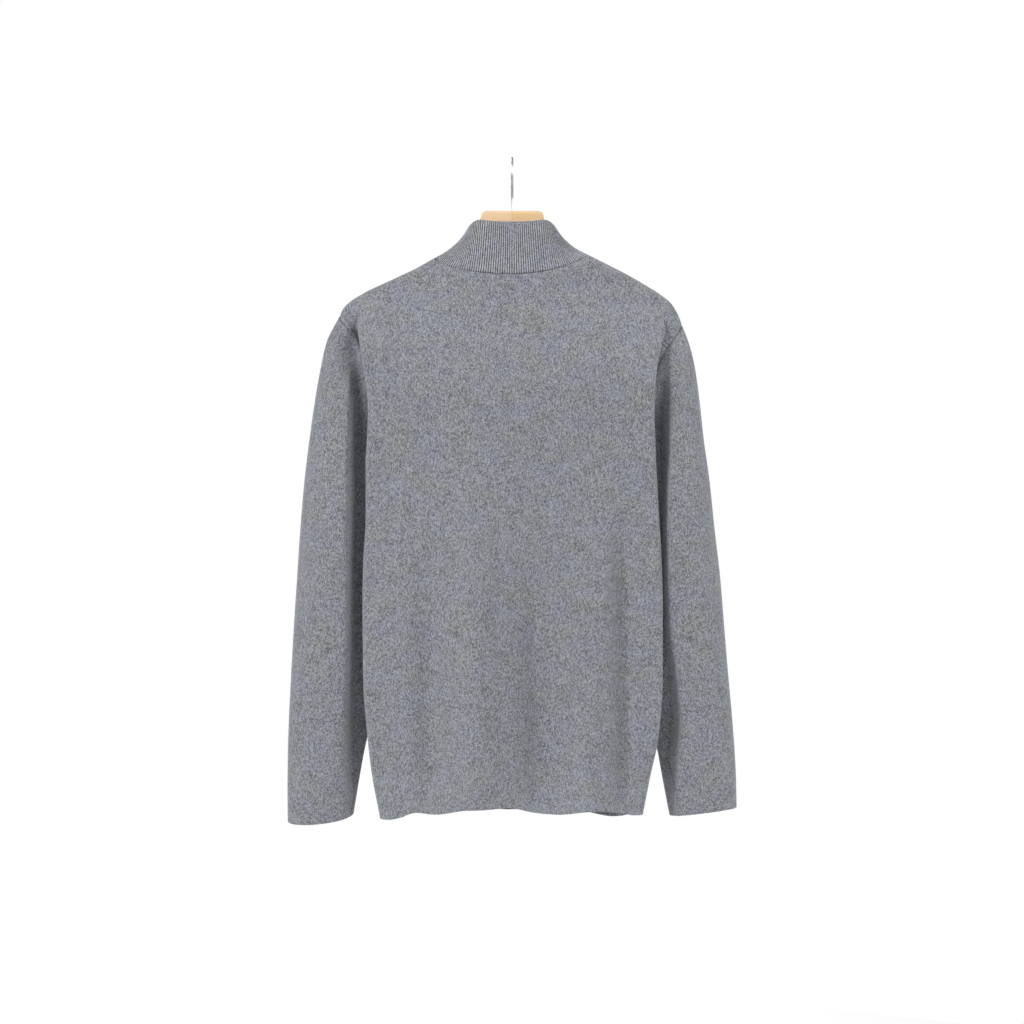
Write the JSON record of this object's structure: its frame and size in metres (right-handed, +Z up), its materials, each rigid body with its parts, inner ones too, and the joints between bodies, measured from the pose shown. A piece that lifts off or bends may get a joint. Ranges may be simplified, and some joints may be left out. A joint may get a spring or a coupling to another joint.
{
  "type": "zip-up cardigan on a hanger",
  "caption": "Plain knitted cardigan with long sleeves, a ribbed stand-up collar and a full front zip, hanging flat on a wooden hanger with a steel hook.",
  "frame": {"origin": "inside of the hook's crown, where a rail carries the hanger", "axes": "+X towards the wearer's left, +Y towards the back of the cardigan, +Z up"},
  "size_m": [0.5608, 0.1847, 0.8321],
  "materials": {
    "knit": "mottled grey fine knit",
    "rib_knit": "mottled grey one-by-one rib",
    "zip_tape": "woven tape",
    "zip_metal": "satin",
    "light_wood": "clear satin lacquer",
    "warm_wood": "clear satin lacquer",
    "hook_steel": "polished wire"
  },
  "bodies": {
    "garment": {"back": "knit", "front_left": "knit", "front_right": "knit", "sleeve_left": "knit", "sleeve_right": "knit", "collar": "rib_knit", "zip_tape_left": "zip_tape", "zip_tape_right": "zip_tape", "zip_chain": "zip_metal", "zip_box": "zip_metal", "zip_slider": "zip_metal", "hanger_left": "light_wood", "hanger_right": "warm_wood", "hook": "hook_steel"},
    "pull_tab": {"zip_pull": "zip_metal"}
  },
  "joints": [
    {"name": "pull_tab_hinge", "type": "hinge", "parent": "garment", "child": "pull_tab", "pos_m": [0, -0.1021, -0.15018], "axis": [1, 0, 0], "range_deg": [-150, 12]}
  ]
}
